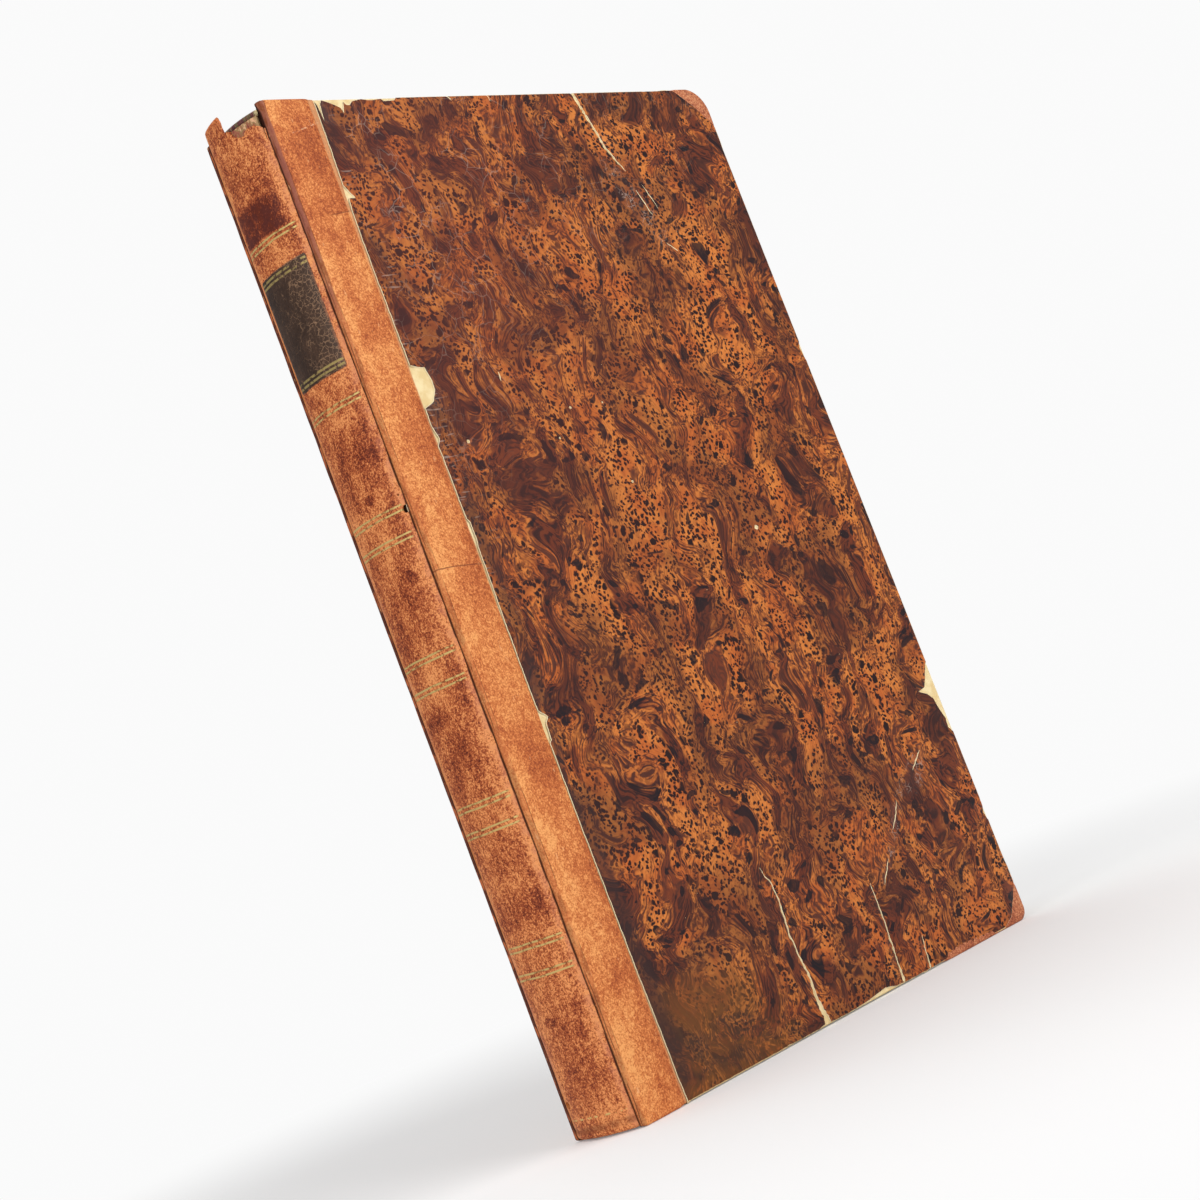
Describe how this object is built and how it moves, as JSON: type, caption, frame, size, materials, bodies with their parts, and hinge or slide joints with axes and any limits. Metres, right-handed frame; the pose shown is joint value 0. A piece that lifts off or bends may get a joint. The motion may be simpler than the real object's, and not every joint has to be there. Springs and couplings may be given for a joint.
{
  "type": "antique leather book",
  "caption": "Upright antique half-leather folio: tan leather spine and corners, marbled paper sides, torn head cap, both covers hinged.",
  "frame": {"origin": "centre of the footprint of the standing book, on the surface under its tail edge", "axes": "+Z from tail to head, +X from spine to fore edge, +Y from front cover to back cover"},
  "size_m": [0.2214, 0.0336, 0.3438],
  "materials": {
    "spine_leather": "worn satin, mottled",
    "leather_strip": "worn satin, faded tan",
    "leather_corner": "worn satin",
    "label_leather": "worn, scuffed",
    "marbled_paper": "glazed marbled paper, cracked",
    "end_paper": "matt, aged",
    "leaves": "matt, aged",
    "board": "matt pasteboard",
    "lining_card": "matt",
    "hemp_cord": "twisted hemp",
    "band_silk": "striped thread over a cord"
  },
  "bodies": {
    "text_block": {"page_block": "leaves", "head_band": "band_silk", "tail_band": "band_silk", "spine_lining": "lining_card", "spine_leather": "spine_leather", "title_label": "label_leather", "sewing_cord_1": "hemp_cord", "sewing_cord_2": "hemp_cord", "sewing_cord_3": "hemp_cord", "sewing_cord_4": "hemp_cord", "sewing_cord_5": "hemp_cord"},
    "front_cover": {"front_board": "board", "front_spine_strip": "leather_strip", "front_head_corner": "leather_corner", "front_tail_corner": "leather_corner", "front_side_paper": "marbled_paper", "front_pastedown": "end_paper"},
    "back_cover": {"back_board": "board", "back_spine_strip": "leather_strip", "back_head_corner": "leather_corner", "back_tail_corner": "leather_corner", "back_side_paper": "marbled_paper", "back_pastedown": "end_paper"}
  },
  "joints": [
    {"name": "front_hinge", "type": "hinge", "parent": "text_block", "child": "front_cover", "pos_m": [-0.10748, -0.01665, 0.17], "axis": [0, 0, -1], "range_deg": [0, 170]},
    {"name": "back_hinge", "type": "hinge", "parent": "text_block", "child": "back_cover", "pos_m": [-0.10748, 0.01665, 0.17], "axis": [0, 0, 1], "range_deg": [0, 170]}
  ]
}
